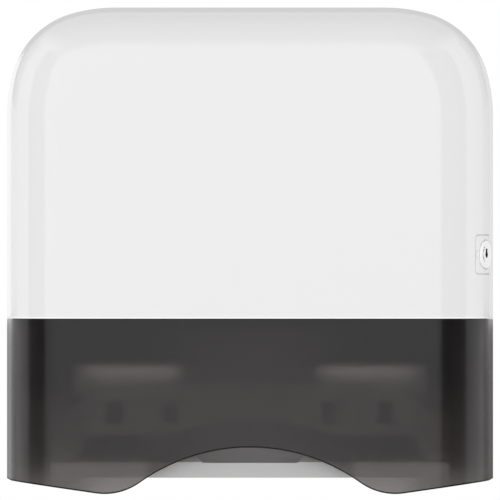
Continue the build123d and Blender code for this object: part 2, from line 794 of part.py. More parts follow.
finish(upper_cover, "upper_cover")
finish(lower_cover, "lower_cover")
finish(seam_band, "seam_band")
finish(back_panel, "back_panel")
finish(side_guide_left, "side_guide_left")
finish(side_guide_right, "side_guide_right")
finish(stack_rest_left, "stack_rest_left")
finish(stack_rest_right, "stack_rest_right")
finish(outlet_tray, "outlet_tray")
finish(front_guide, "front_guide")
finish(bumpers, "bumpers")
finish(width_clip, "width_clip")
finish(lock_escutcheon, "lock_escutcheon")
finish(lock_housing, "lock_housing")
finish(lock_nut, "lock_nut")
finish(lock_barrel, "lock_barrel")
finish(lock_cam, "lock_cam")
finish(cam_screw, "cam_screw")
finish(strike_plate, "strike_plate")
finish(guide_screws, "guide_screws")
finish(rest_screws, "rest_screws")
finish(tray_screws, "tray_screws")
finish(strike_screws, "strike_screws")
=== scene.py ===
import json
import math

import bpy
from mathutils import Matrix, Vector


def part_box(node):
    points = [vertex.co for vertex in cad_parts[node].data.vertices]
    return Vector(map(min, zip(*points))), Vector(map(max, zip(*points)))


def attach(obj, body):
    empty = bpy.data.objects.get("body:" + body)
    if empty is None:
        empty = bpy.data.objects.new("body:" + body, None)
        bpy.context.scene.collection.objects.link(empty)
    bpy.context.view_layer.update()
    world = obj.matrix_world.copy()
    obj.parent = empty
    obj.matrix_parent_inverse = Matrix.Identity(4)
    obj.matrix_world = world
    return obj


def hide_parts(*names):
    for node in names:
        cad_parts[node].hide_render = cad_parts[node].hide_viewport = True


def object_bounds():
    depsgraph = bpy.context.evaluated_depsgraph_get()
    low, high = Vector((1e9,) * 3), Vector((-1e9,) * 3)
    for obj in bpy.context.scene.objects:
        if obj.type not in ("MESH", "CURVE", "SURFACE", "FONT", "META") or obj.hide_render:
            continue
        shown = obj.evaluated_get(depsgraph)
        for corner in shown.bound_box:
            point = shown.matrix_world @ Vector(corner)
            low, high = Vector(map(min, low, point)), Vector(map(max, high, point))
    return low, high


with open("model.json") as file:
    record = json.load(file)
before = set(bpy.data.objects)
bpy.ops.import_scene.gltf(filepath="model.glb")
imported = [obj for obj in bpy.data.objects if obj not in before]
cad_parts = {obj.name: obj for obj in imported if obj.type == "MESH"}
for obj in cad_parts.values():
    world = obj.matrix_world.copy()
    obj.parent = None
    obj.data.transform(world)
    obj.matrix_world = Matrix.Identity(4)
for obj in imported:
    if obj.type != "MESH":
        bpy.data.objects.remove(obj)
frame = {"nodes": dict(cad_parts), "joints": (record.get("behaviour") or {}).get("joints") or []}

cad_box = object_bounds()
low_corner, high_corner = cad_box

# Wall panel: one injection-moulded plate with a rim, slotted screw pads, slide ribs and hinge ears, in
# fine-grained grey plastic. Four screws hold it to the wall, and rubber pads on its rim stop the cover.
PANEL_GREY = (0.42, 0.415, 0.415)
PANEL_SHADE = (0.39, 0.385, 0.385)
PANEL_ROUGHNESS = 0.5
PAD_BLACK = (0.03, 0.03, 0.03)
PAD_SHADE = (0.045, 0.045, 0.045)
PAD_ROUGHNESS = 0.75
GRAIN_SCALE = 2600.0
GRAIN_HEIGHT = 0.00004
GRAIN_STRENGTH = 0.35
GRAIN_ROUGHNESS = 0.12
CLOUD_SCALE = 22.0
CLOUD_ROUGHNESS = 0.06
MERGE_REACH = 0.00001
FLAT_ANGLE = math.radians(0.5)
SHARP_ANGLE = math.radians(40)
SMOOTH_ANGLE = math.radians(35)
MOULD_EDGE = 0.00025


class Finish:
    """The node tree of one finish, with one method that adds any node."""

    def __init__(self, name, tree=None):
        self.material = None
        if tree is None:
            self.material = bpy.data.materials.new(name)
            self.material.use_nodes = True
            tree = self.material.node_tree
        self.tree = tree
        self.tree.nodes.clear()

    def add(self, kind, settings=None, **values):
        """Add a node, apply its settings, then give its sockets their values or links."""
        node = self.tree.nodes.new(kind)
        for key, value in (settings or {}).items():
            setattr(node, key, value)
        for key, value in values.items():
            numbered = key[0] == "i" and key[1:].isdigit()
            socket = node.inputs[int(key[1:]) if numbered else key.replace("_", " ")]
            value = value.socket if isinstance(value, Value) else value
            if isinstance(value, bpy.types.NodeSocket):
                self.tree.links.new(value, socket)
            else:
                socket.default_value = value
        return node

    def value(self, kind, output, settings=None, **values):
        """Add a node and take one of its outputs into sums."""
        return Value(self, self.add(kind, settings, **values).outputs[output])

    def mix(self, factor, first, second):
        """Colour between two colours."""
        return self.add("ShaderNodeMix", {"data_type": "RGBA"}, i0=factor, i6=first, i7=second).outputs[2]

    def done(self, shader):
        """Show the shader on the surface and hand over the material."""
        self.add("ShaderNodeOutputMaterial", Surface=shader.outputs[0])
        return self.material


class Value:
    """A shader number that takes part in ordinary sums."""

    def __init__(self, finish, socket):
        self.finish = finish
        self.socket = socket

    def maths(self, operation, first, second=0.0):
        return self.finish.value("ShaderNodeMath", 0, {"operation": operation}, i0=first, i1=second)

    def largest(self, other):
        return self.maths("MAXIMUM", self, other)

    def __add__(self, other):
        return self.maths("ADD", self, other)

    __radd__ = __add__

    def __sub__(self, other):
        return self.maths("SUBTRACT", self, other)

    def __rsub__(self, other):
        return self.maths("SUBTRACT", other, self)

    def __mul__(self, other):
        return self.maths("MULTIPLY", self, other)

    __rmul__ = __mul__


def select_only(piece):
    """Deselect everything and make one piece active."""
    bpy.ops.object.select_all(action="DESELECT")
    piece.select_set(True)
    bpy.context.view_layer.objects.active = piece


def mark(piece, kind, wanted):
    """Open edit mode on a piece with only the faces, edges or vertices selected that a rule wants."""
    select_only(piece)
    bpy.ops.object.mode_set(mode="EDIT")
    bpy.ops.mesh.select_mode(type=kind)
    bpy.ops.mesh.select_all(action="DESELECT")
    bpy.ops.object.mode_set(mode="OBJECT")
    mesh = piece.data
    if kind == "FACE":
        for face in mesh.polygons:
            face.select = wanted(face.center, face.normal)
    elif kind == "EDGE":
        for edge in mesh.edges:
            edge.select = wanted(*(mesh.vertices[i].co for i in edge.vertices))
    else:
        for vertex in mesh.vertices:
            vertex.select = wanted(vertex.co)
    bpy.ops.object.mode_set(mode="EDIT")


def apply_all(piece):
    """Apply every modifier of a piece in order."""
    select_only(piece)
    for modifier in list(piece.modifiers):
        bpy.ops.object.modifier_apply(modifier=modifier.name)


def soften(piece, width, steps=2):
    """Round the sharp edges a little and shade the rest smooth, with the bend kept off large faces."""
    edges = piece.modifiers.new("soft_edges", "BEVEL")
    edges.width = width
    edges.segments = steps
    edges.limit_method = "ANGLE"
    edges.angle_limit = SHARP_ANGLE
    apply_all(piece)
    bpy.ops.object.shade_smooth_by_angle(angle=SMOOTH_ANGLE)
    shading = piece.modifiers.new("even_shading", "WEIGHTED_NORMAL")
    shading.keep_sharp = True
    apply_all(piece)


def moulded_copy(name, material, softness):
    """Merged copy of a solid with its sharp edges softened, in one finish."""
    source = frame["nodes"][name]
    bpy.ops.object.select_all(action="DESELECT")
    piece = source.copy()
    piece.data = source.data.copy()
    piece.name = piece.data.name = name + "_moulded"
    piece.parent = None
    for key in list(piece.keys()):
        del piece[key]
    bpy.context.scene.collection.objects.link(piece)
    mark(piece, "FACE", lambda centre, normal: True)
    bpy.ops.mesh.remove_doubles(threshold=MERGE_REACH)
    bpy.ops.mesh.dissolve_limited(angle_limit=FLAT_ANGLE)
    bpy.ops.object.mode_set(mode="OBJECT")
    soften(piece, softness)
    piece.data.materials.clear()
    piece.data.materials.append(material)
    return piece


def stands_for(piece, body, slot_name, *names):
    """Let a piece move with a body and stand for its solids."""
    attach(piece, body)
    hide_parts(*names)


def grained_plastic(name, light, shade, roughness, grain_height):
    """Moulded plastic with a fine spark-eroded grain and faint flow clouds."""
    plastic = Finish(name)
    place = plastic.add("ShaderNodeTexCoord").outputs["Object"]
    grain = plastic.value("ShaderNodeTexNoise", "Fac", Vector=place, Scale=GRAIN_SCALE, Detail=2.0)
    cloud = plastic.value("ShaderNodeTexNoise", "Fac", Vector=place, Scale=CLOUD_SCALE, Detail=3.0)
    bump = plastic.add("ShaderNodeBump", Strength=GRAIN_STRENGTH, Distance=grain_height, Height=grain)
    tint = plastic.mix(cloud, (*light, 1.0), (*shade, 1.0))
    rough = grain * GRAIN_ROUGHNESS + cloud * CLOUD_ROUGHNESS + (roughness - GRAIN_ROUGHNESS)
    return plastic.done(
        plastic.add("ShaderNodeBsdfPrincipled", Base_Color=tint, Roughness=rough, Normal=bump.outputs[0])
    )


grey_plastic = grained_plastic("grey_plastic", PANEL_GREY, PANEL_SHADE, PANEL_ROUGHNESS, GRAIN_HEIGHT)
rubber = grained_plastic("rubber", PAD_BLACK, PAD_SHADE, PAD_ROUGHNESS, 2 * GRAIN_HEIGHT)
wall_panel = moulded_copy("back_panel", grey_plastic, MOULD_EDGE)
stands_for(wall_panel, "chassis", "grey_plastic", "back_panel")
pads = moulded_copy("bumpers", rubber, MOULD_EDGE)
stands_for(pads, "chassis", "rubber", "bumpers")

# Side guides: two dark grey channels that hold the towel stack upright, screwed to the panel by their rear
# flanges. The black clip on the left one narrows the stack for short towels.
GUIDE_SLATE = (0.12, 0.12, 0.12)
GUIDE_SHADE = (0.1, 0.1, 0.1)
GUIDE_ROUGHNESS = 0.5
CLIP_BLACK = (0.02, 0.02, 0.02)
CLIP_SHADE = (0.03, 0.03, 0.03)
CLIP_ROUGHNESS = 0.45
slate_plastic = grained_plastic("slate_plastic", GUIDE_SLATE, GUIDE_SHADE, GUIDE_ROUGHNESS, GRAIN_HEIGHT)
# This black finish is also painted into the lock barrel's keyhole and turning groove as painted shade.
dark_plastic = grained_plastic("dark_plastic", CLIP_BLACK, CLIP_SHADE, CLIP_ROUGHNESS, GRAIN_HEIGHT)
for side in ("left", "right"):
    guide = moulded_copy("side_guide_" + side, slate_plastic, MOULD_EDGE)
    stands_for(guide, "chassis", "grey_plastic", "side_guide_" + side)
clip = moulded_copy("width_clip", dark_plastic, MOULD_EDGE)
stands_for(clip, "chassis", "dark_plastic", "width_clip")

# Stack rests: two ribbed shelves of pale moulded plastic on which the towels stand. Each is screwed to the
# panel through its rear flange.
REST_PALE = (0.5, 0.495, 0.495)
REST_SHADE = (0.47, 0.465, 0.465)
REST_ROUGHNESS = 0.4
light_plastic = grained_plastic("light_plastic", REST_PALE, REST_SHADE, REST_ROUGHNESS, GRAIN_HEIGHT)
for side in ("left", "right"):
    rest = moulded_copy("stack_rest_" + side, light_plastic, MOULD_EDGE / 2)
    stands_for(rest, "chassis", "light_plastic", "stack_rest_" + side)

# Outlet: a pale tray under the stack with a notched lip, screwed to the panel. The plate pegged to its posts
# closes the front, and its long low opening lets the towel out.
tray = moulded_copy("outlet_tray", light_plastic, MOULD_EDGE)
stands_for(tray, "chassis", "light_plastic", "outlet_tray")
front_plate = moulded_copy("front_guide", light_plastic, MOULD_EDGE)
stands_for(front_plate, "chassis", "light_plastic", "front_guide")

# Screws and strike plate: zinc-plated steel, bright where it is turned and a little dull between. The screws
# go into blind bosses, and the strike plate on the right guide catches the lock cam.
STEEL = (0.62, 0.62, 0.61)
STEEL_DULL = (0.5, 0.5, 0.49)
STEEL_ROUGHNESS = 0.32
TURNING_SCALE = 1500.0
TURNING_HEIGHT = 0.00002
TURNING_STRENGTH = 0.2
TURNING_ROUGHNESS = 0.15
PATCH_SCALE = 120.0
PATCH_ROUGHNESS = 0.1


def turned_metal(name, colour, dull, roughness):
    """Plated metal with fine turning marks and dull patches."""
    metal = Finish(name)
    place = metal.add("ShaderNodeTexCoord").outputs["Object"]
    marks = metal.value("ShaderNodeTexNoise", "Fac", Vector=place, Scale=TURNING_SCALE, Detail=4.0)
    patch = metal.value("ShaderNodeTexNoise", "Fac", Vector=place, Scale=PATCH_SCALE, Detail=2.0)
    bump = metal.add("ShaderNodeBump", Strength=TURNING_STRENGTH, Distance=TURNING_HEIGHT, Height=marks)
    tint = metal.mix(patch, (*colour, 1.0), (*dull, 1.0))
    return metal.done(
        metal.add(
            "ShaderNodeBsdfPrincipled",
            Base_Color=tint,
            Metallic=1.0,
            Roughness=marks * TURNING_ROUGHNESS + patch * PATCH_ROUGHNESS + (roughness - TURNING_ROUGHNESS),
            Normal=bump.outputs[0],
        )
    )


steel = turned_metal("steel", STEEL, STEEL_DULL, STEEL_ROUGHNESS)
for name in ("guide_screws", "rest_screws", "tray_screws", "strike_screws"):
    screws = moulded_copy(name, steel, MOULD_EDGE / 2)
    stands_for(screws, "chassis", "steel", name)
strike = moulded_copy("strike_plate", steel, MOULD_EDGE / 2)
stands_for(strike, "chassis", "steel", "strike_plate")
# White cover shell: the upper of two mouldings of one form, in high-gloss plastic 2.5 mm thick, drafted
# towards the front and rounded there. It is a skin on that form with its wall, its cut for the lock, a
# painted highlight strip along the rounded rim at the seam, and two short ribs on the inside of each flank
# that meet the rubber pads.
HIGH_X = high_corner[0]
TOP_Z = high_corner[2]
DEPTH = -low_corner[1]
REAR_GAP = -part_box("upper_cover")[1][1]
SEAM_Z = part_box("upper_cover")[0][2]
WALL = 0.0025
DRAFT = math.radians(2.6)
FRONT_RADIUS = 0.034
CORNER_RADII = (0.0986, 0.0523, 0.0986)
CORNER_TURNS = (0.0, 16.0, 74.0, 90.0)
CORNER_STEPS = (8, 26, 8)
SIDE_STEPS = 12
FLANK_STEPS = 8
ROUND_STEPS = 26
FRONT_RING = 0.001
EDGE_SOFTNESS = 0.0004
SEAM_SOFTNESS = 0.0006
PLATE_SIZE = 0.0235
PLATE_CORNER = 0.0025
PLATE_FACING = 0.0012
PLATE_GAP = 0.0004
SEAT_GAP = 0.00015
DISC_PROUD = 0.0006
DISC_THICKNESS = 0.0016
FLANGE_THICKNESS = 0.0011
RING_RADIUS = 0.0092
BODY_RADIUS = 0.0078
BOSS_RADIUS = 0.012
BOSS_DEPTH = 0.005
CUT_LENGTH = 0.03
STOP_HEIGHTS = (-0.020, 0.045)
STOP_REACH = 0.007
STOP_LENGTH = 0.012
STOP_THICKNESS = 0.002
STOP_OUT = 0.0108
WHITE = (0.795, 0.795, 0.795, 1.0)
WHITE_SHADE = (0.805, 0.805, 0.805, 1.0)
WHITE_ROUGHNESS = 0.05
WHITE_WAVINESS = 0.03
WHITE_WAVE_SCALE = 9.0
WHITE_SPECK_SCALE = 2400.0
WHITE_SPECK_HEIGHT = 0.0002
WHITE_SPECK_STRENGTH = 0.02
WHITE_INDEX = 1.6
# The strip at the seam is a painted highlight: brighter white that stands in for the light caught by the
# rounded rim.
PAINTED_HIGHLIGHT_HEIGHT = 0.0009
PAINTED_HIGHLIGHT_WHITE = (0.94, 0.94, 0.94)
PAINTED_HIGHLIGHT_TONE = (0.92, 0.92, 0.92)
PAINTED_HIGHLIGHT_ROUGHNESS = 0.3


def turn_out(piece):
    """Point the faces of a closed piece outwards."""
    mark(piece, "FACE", lambda centre, normal: True)
    bpy.ops.mesh.normals_make_consistent(inside=False)
    bpy.ops.object.mode_set(mode="OBJECT")


def cut(piece, cutter, operation="DIFFERENCE"):
    """Cut a piece with a closed form, or keep what is inside it, then drop the form."""
    knife = piece.modifiers.new("cut", "BOOLEAN")
    knife.operation = operation
    knife.solver = "EXACT"
    knife.object = cutter
    apply_all(piece)
    bpy.data.objects.remove(cutter)


def flank_line(inset=0.0):
    """The shell's section from wall to front, as distances in from the outline and out from the wall."""
    corner_in = (DEPTH - REAR_GAP) * math.tan(DRAFT)
    tangent = FRONT_RADIUS / math.tan(math.pi / 4 + DRAFT / 2)
    radius = FRONT_RADIUS - inset
    centre_in, centre_out = corner_in + tangent, DEPTH - FRONT_RADIUS
    start_in = centre_in - radius * math.cos(DRAFT)
    start_out = centre_out + radius * math.sin(DRAFT)
    line = []
    for step in range(FLANK_STEPS):
        out = REAR_GAP + (start_out - REAR_GAP) * step / FLANK_STEPS
        line.append((start_in - (start_out - out) * math.tan(DRAFT), out))
    for step in range(ROUND_STEPS + 1):
        turn = DRAFT + (math.pi / 2 - DRAFT) * step / ROUND_STEPS
        line.append((centre_in - radius * math.cos(turn), centre_out + radius * math.sin(turn)))
    line.append((centre_in + FRONT_RING, DEPTH - inset))
    return line


def upper_outline():
    """The white shell's outline from seam to seam over the top, as points with their way inwards."""
    first, middle = CORNER_RADII[:2]
    turns = [math.radians(turn) for turn in CORNER_TURNS]
    centre_z = TOP_Z - first + (first - middle) * (math.cos(turns[1]) - math.sin(turns[1]))
    half = []
    heights = [SEAM_Z, SEAM_Z + PAINTED_HIGHLIGHT_HEIGHT]
    heights += [SEAM_Z + (centre_z - SEAM_Z) * step / SIDE_STEPS for step in range(1, SIDE_STEPS)]
    for height in heights:
        half.append((Vector((HIGH_X, height)), Vector((-1.0, 0.0))))
    centre = Vector((HIGH_X - first, centre_z))
    for number, steps in enumerate(CORNER_STEPS):
        radius = CORNER_RADII[number]
        for step in range(steps + (number == 2)):
            turn = turns[number] + (turns[number + 1] - turns[number]) * step / steps
            outwards = Vector((math.cos(turn), math.sin(turn)))
            half.append((centre + outwards * radius, -outwards))
        if number < 2:
            leave = Vector((math.cos(turns[number + 1]), math.sin(turns[number + 1])))
            centre += leave * (radius - CORNER_RADII[number + 1])
    top_end = half[-1][0].x
    for step in range(1, SIDE_STEPS):
        half.append((Vector((top_end * (1 - step / SIDE_STEPS), TOP_Z)), Vector((0.0, -1.0))))
    other = [(Vector((-spot.x, spot.y)), Vector((-way.x, way.y))) for spot, way in half]
    return half + [(Vector((0.0, TOP_Z)), Vector((0.0, -1.0)))] + other[::-1]


def skin(name, rows, columns, place):
    """Grid of rows and columns whose points a rule puts in place, with its faces outwards."""
    bpy.ops.object.select_all(action="DESELECT")
    bpy.ops.mesh.primitive_grid_add(x_subdivisions=rows - 1, y_subdivisions=columns - 1, size=2.0)
    sheet = bpy.context.active_object
    sheet.name = sheet.data.name = name
    for vertex in sheet.data.vertices:
        row = round((vertex.co.x + 1) / 2 * (rows - 1))
        column = round((vertex.co.y + 1) / 2 * (columns - 1))
        vertex.co = place(row, column)
    sheet.data.update()
    sample = sheet.data.polygons[0]
    if sample.normal.dot(sample.center - Vector((0.0, 0.0, sample.center.z))) < 0:
        mark(sheet, "FACE", lambda centre, normal: True)
        bpy.ops.mesh.flip_normals()
        bpy.ops.object.mode_set(mode="OBJECT")
    return sheet


def give_wall(sheet):
    """Thicken a skin inwards."""
    wall = sheet.modifiers.new("wall", "SOLIDIFY")
    wall.thickness = WALL
    wall.offset = -1.0
    wall.use_even_offset = True
    apply_all(sheet)


outline = upper_outline()
section = flank_line()


def on_upper_skin(row, column):
    """Place of a point of the upper skin, by its step round the outline and its step to the front."""
    if column == len(section):
        return (0.0, -DEPTH, SEAM_Z if row in (0, len(outline) - 1) else SEAM_Z + PAINTED_HIGHLIGHT_HEIGHT)
    spot, way = outline[row]
    inwards, out = section[column]
    reached = spot + way * inwards
    return (reached.x, -out, reached.y)


upper_shell = skin("upper_shell", len(outline), len(section) + 1, on_upper_skin)
mark(upper_shell, "VERT", lambda place: True)
bpy.ops.mesh.remove_doubles(threshold=FRONT_RING / 100)
bpy.ops.object.mode_set(mode="OBJECT")
give_wall(upper_shell)

lock_joint = next(joint for joint in frame["joints"] if joint["name"] == "lock_turn")
lock_spot = Vector(lock_joint["pos_m"])
lock_out = Vector(lock_joint["axis"]).normalized()
lock_side = lock_out.cross(Vector((0.0, 0.0, 1.0)))
ring_floor = DISC_PROUD - DISC_THICKNESS - FLANGE_THICKNESS


def on_lock(name):
    """Put the piece just added, made along Z with X up, on the lock's line."""
    piece = bpy.context.active_object
    piece.name = piece.data.name = name
    turned = Matrix((Vector((0.0, 0.0, 1.0)), lock_side, lock_out)).transposed().to_4x4()
    piece.data.transform(Matrix.Translation(lock_spot) @ turned @ piece.matrix_basis)
    piece.matrix_basis = Matrix.Identity(4)
    return piece


def lock_bar(name, radius, low, high, sides=96):
    """Round bar on the lock's line between two places along it."""
    bpy.ops.object.select_all(action="DESELECT")
    bpy.ops.mesh.primitive_cylinder_add(
        vertices=sides, radius=radius, depth=high - low, location=(0.0, 0.0, (low + high) / 2)
    )
    return on_lock(name)


def lock_square(name, size, corner, low, high):
    """Square bar with rounded corners on the lock's line."""
    bpy.ops.object.select_all(action="DESELECT")
    bpy.ops.mesh.primitive_cube_add(size=1.0)
    bar = bpy.context.active_object
    for vertex in bar.data.vertices:
        vertex.co = (vertex.co.x * size, vertex.co.y * size, low if vertex.co.z < 0 else high)
    mark(bar, "EDGE", lambda a, b: abs(a.z - b.z) > WALL / 2)
    bpy.ops.mesh.bevel(offset=corner, segments=8, affect="EDGES")
    bpy.ops.object.mode_set(mode="OBJECT")
    return on_lock(name)


def flank_core(name, inset):
    """Closed block of all that lies deeper than an inset under the flank's surface beside the lock."""
    line = [(HIGH_X - inwards, -out) for inwards, out in flank_line(inset)]
    line += [(0.0, line[-1][1]), (0.0, line[0][1])]
    bpy.ops.object.select_all(action="DESELECT")
    bpy.ops.mesh.primitive_circle_add(vertices=len(line), fill_type="NGON")
    block = bpy.context.active_object
    block.name = block.data.name = name
    for vertex, (across, out) in zip(block.data.vertices, line):
        vertex.co = (across, out, lock_spot.z - CUT_LENGTH)
    mark(block, "FACE", lambda centre, normal: True)
    bpy.ops.mesh.extrude_region_move(TRANSFORM_OT_translate={"value": (0.0, 0.0, 2 * CUT_LENGTH)})
    bpy.ops.object.mode_set(mode="OBJECT")
    turn_out(block)
    return block


def join(piece, *others):
    """Join moulded-on details to a piece."""
    select_only(piece)
    for other in others:
        other.select_set(True)
    bpy.ops.object.join()


pocket = lock_square("pocket", PLATE_SIZE + 2 * PLATE_GAP, PLATE_CORNER + PLATE_GAP, -BOSS_DEPTH, BOSS_DEPTH)
cut(pocket, flank_core("pocket_floor", PLATE_FACING + SEAT_GAP))
cut(upper_shell, pocket)
cut(upper_shell, lock_bar("ring_opening", RING_RADIUS, ring_floor, BOSS_DEPTH))
cut(upper_shell, lock_bar("body_opening", BODY_RADIUS + SEAT_GAP, -2 * BOSS_DEPTH, BOSS_DEPTH))
boss = lock_bar("lock_boss", BOSS_RADIUS, -BOSS_DEPTH, 0.0)
cut(boss, flank_core("boss_top", PLATE_FACING + SEAT_GAP), "INTERSECT")
cut(boss, lock_bar("ring_opening", RING_RADIUS, ring_floor, BOSS_DEPTH))
cut(boss, lock_bar("body_opening", BODY_RADIUS + SEAT_GAP, -2 * BOSS_DEPTH, BOSS_DEPTH))

stop_ribs = []
for side in (-1, 1):
    for height in STOP_HEIGHTS:
        bpy.ops.object.select_all(action="DESELECT")
        bpy.ops.mesh.primitive_cube_add(size=1.0)
        rib = bpy.context.active_object
        for vertex in rib.data.vertices:
            outer = HIGH_X - WALL / 2 - STOP_OUT * math.tan(DRAFT)
            inner = outer - STOP_REACH - WALL / 2
            vertex.co = (
                side * (outer if vertex.co.x > 0 else inner),
                -STOP_OUT - (STOP_THICKNESS if vertex.co.y < 0 else 0.0),
                height + vertex.co.z * STOP_LENGTH,
            )
        turn_out(rib)
        stop_ribs.append(rib)
soften(upper_shell, SEAM_SOFTNESS, 3)
for detail in (boss, *stop_ribs):
    soften(detail, EDGE_SOFTNESS)
join(upper_shell, boss, *stop_ribs)

white = Finish("white_gloss")
white_place = white.add("ShaderNodeTexCoord").outputs["Object"]
white_wave = white.value("ShaderNodeTexNoise", "Fac", Vector=white_place, Scale=WHITE_WAVE_SCALE, Detail=2.0)
white_speck = white.value("ShaderNodeTexNoise", "Fac", Vector=white_place, Scale=WHITE_SPECK_SCALE)
white_bump = white.add(
    "ShaderNodeBump", Strength=WHITE_SPECK_STRENGTH, Distance=WHITE_SPECK_HEIGHT, Height=white_speck
)
white_tint = white.mix(white_wave, WHITE, WHITE_SHADE)
white_gloss = white.done(
    white.add(
        "ShaderNodeBsdfPrincipled",
        Base_Color=white_tint,
        Roughness=white_wave * WHITE_WAVINESS + WHITE_ROUGHNESS,
        IOR=WHITE_INDEX,
        Normal=white_bump.outputs[0],
    )
)
upper_shell.data.materials.clear()
upper_shell.data.materials.append(white_gloss)
# Painted highlight: a brighter white finish for the thin strip along the seam rim.
painted_highlight_rim = grained_plastic("painted_highlight_rim", PAINTED_HIGHLIGHT_WHITE, PAINTED_HIGHLIGHT_TONE, PAINTED_HIGHLIGHT_ROUGHNESS, GRAIN_HEIGHT / 4)
upper_shell.data.materials.append(painted_highlight_rim)
# Faces below the top of the strip at the seam take the painted highlight.
for face in upper_shell.data.polygons:
    if face.center.z < SEAM_Z + PAINTED_HIGHLIGHT_HEIGHT:
        face.material_index = 1
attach(upper_shell, "cover")
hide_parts("upper_cover")

# Smoke cover shell: the lower moulding, in dark clear plastic that is polished outside and frosted inside.
# Its waved foot rises from a lobe at each side to the hand arch and has dark cut edges, and a round boss
# inside each foot takes a hinge pin.
LOBE_RADIUS = 0.037
LOBE_OFFSET = 0.089
ARCH_HEIGHT = 0.0284
SIDE_SLOPE = math.radians(8.2)
WAVE_STEPS = 170
LOWER_ROWS = 15
EDGE_BAND = 0.0009
SEAM_GAP = 0.0004
HINGE_BOSS_RADIUS = 0.0058
HINGE_BOSS_GAP = 0.0062
SMOKE_TINT = (0.235, 0.215, 0.213, 1.0)
SMOKE_INDEX = 1.43
SMOKE_POLISH = 0.19
SMOKE_FROST = 0.46
SMOKE_GRAIN_SCALE = 1800.0
SMOKE_GRAIN = 0.02
SMOKE_EDGE = (0.012, 0.011, 0.011, 1.0)
SMOKE_EDGE_SHADE = (0.02, 0.018, 0.018, 1.0)
SMOKE_EDGE_ROUGHNESS = 0.4
SMOKE_EDGE_GRAIN = 0.1
SMOKE_EDGE_SCALE = 300.0
SMOKE_EDGE_INDEX = 1.2


def wave_height(across):
    """Height of the waved edge above its lowest point, at a distance from the middle."""
    across = abs(across)
    both_radii = (LOBE_OFFSET**2 + ARCH_HEIGHT**2) / (2 * ARCH_HEIGHT)
    arch_radius = both_radii - LOBE_RADIUS
    if across < LOBE_OFFSET * arch_radius / both_radii:
        return ARCH_HEIGHT - arch_radius + math.sqrt(arch_radius**2 - across**2)
    leave = LOBE_OFFSET + LOBE_RADIUS * math.sin(SIDE_SLOPE)
    if across < leave:
        return LOBE_RADIUS - math.sqrt(LOBE_RADIUS**2 - (across - LOBE_OFFSET) ** 2)
    return LOBE_RADIUS * (1 - math.cos(SIDE_SLOPE)) + (across - leave) * math.tan(SIDE_SLOPE)


half_section = [(HIGH_X - inwards, -out) for inwards, out in section]
front_end = half_section[-1][0]
front_line = [(front_end * (1 - 2 * step / WAVE_STEPS), -DEPTH) for step in range(1, WAVE_STEPS)]
around = half_section + front_line + [(-across, out) for across, out in half_section[::-1]]


def on_lower_skin(row, column):
    """Place of a point of the lower skin, by its step round the front and its step up to the seam."""
    across, out = around[row]
    foot = low_corner[2] + wave_height(across)
    if column == 0:
        return (across, out, foot)
    line = foot + EDGE_BAND
    return (across, out, line + (SEAM_Z - SEAM_GAP - line) * (column - 1) / (LOWER_ROWS - 2))


lower_shell = skin("lower_shell", len(around), LOWER_ROWS, on_lower_skin)
give_wall(lower_shell)
soften(lower_shell, EDGE_SOFTNESS)

pin_low, pin_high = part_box("hinge_pin_right")
hinge_out, hinge_z = (pin_low[1] + pin_high[1]) / 2, (pin_low[2] + pin_high[2]) / 2
boss_start = pin_low[0] + HINGE_BOSS_GAP
bosses = []
for side in (-1, 1):
    bpy.ops.object.select_all(action="DESELECT")
    bpy.ops.mesh.primitive_cylinder_add(
        vertices=64, radius=HINGE_BOSS_RADIUS, depth=1.0, rotation=(0.0, math.pi / 2, 0.0)
    )
    stub = bpy.context.active_object
    bpy.ops.object.transform_apply(location=True, rotation=True, scale=True)
    stub_end = HIGH_X - WALL / 2 + hinge_out * math.tan(DRAFT)
    for vertex in stub.data.vertices:
        reached = boss_start if vertex.co.x * side < 0 else stub_end
        vertex.co = (side * reached, hinge_out + vertex.co.y, hinge_z + vertex.co.z)
    turn_out(stub)
    soften(stub, EDGE_SOFTNESS)
    bosses.append(stub)
join(lower_shell, *bosses)


def smoke_finish(name, roughness):
    """Smoke-tinted clear plastic with a fine grain."""
    smoke = Finish(name)
    place = smoke.add("ShaderNodeTexCoord").outputs["Object"]
    grain = smoke.value("ShaderNodeTexNoise", "Fac", Vector=place, Scale=SMOKE_GRAIN_SCALE, Detail=2.0)
    return smoke.done(
        smoke.add(
            "ShaderNodeBsdfPrincipled",
            Base_Color=SMOKE_TINT,
            Roughness=grain * SMOKE_GRAIN + (roughness - SMOKE_GRAIN / 2),
            Transmission_Weight=1.0,
            IOR=SMOKE_INDEX,
        )
    )


smoke_plastic = smoke_finish("smoke", SMOKE_POLISH)
frosted_smoke = smoke_finish("frosted_smoke", SMOKE_FROST)
edge_smoke = Finish("smoke_edge")
edge_place = edge_smoke.add("ShaderNodeTexCoord").outputs["Object"]
edge_cloud = edge_smoke.value("ShaderNodeTexNoise", "Fac", Vector=edge_place, Scale=SMOKE_EDGE_SCALE)
edge_tint = edge_smoke.mix(edge_cloud, SMOKE_EDGE, SMOKE_EDGE_SHADE)
smoke_edge = edge_smoke.done(
    edge_smoke.add(
        "ShaderNodeBsdfPrincipled",
        Base_Color=edge_tint,
        Roughness=edge_cloud * SMOKE_EDGE_GRAIN + SMOKE_EDGE_ROUGHNESS,
        IOR=SMOKE_EDGE_INDEX,
    )
)
lower_shell.data.materials.clear()
for finish in (smoke_plastic, smoke_edge, frosted_smoke):
    lower_shell.data.materials.append(finish)
for face in lower_shell.data.polygons:
    centre = face.center
    outwards = centre - Vector((0.0, -DEPTH / 3, centre.z))
    if face.normal.dot(outwards) < 0:
        face.material_index = 2
    if centre.z - low_corner[2] - wave_height(centre.x) < EDGE_BAND or centre.y > -REAR_GAP - EDGE_BAND:
        face.material_index = 1
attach(lower_shell, "cover")
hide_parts("lower_cover")

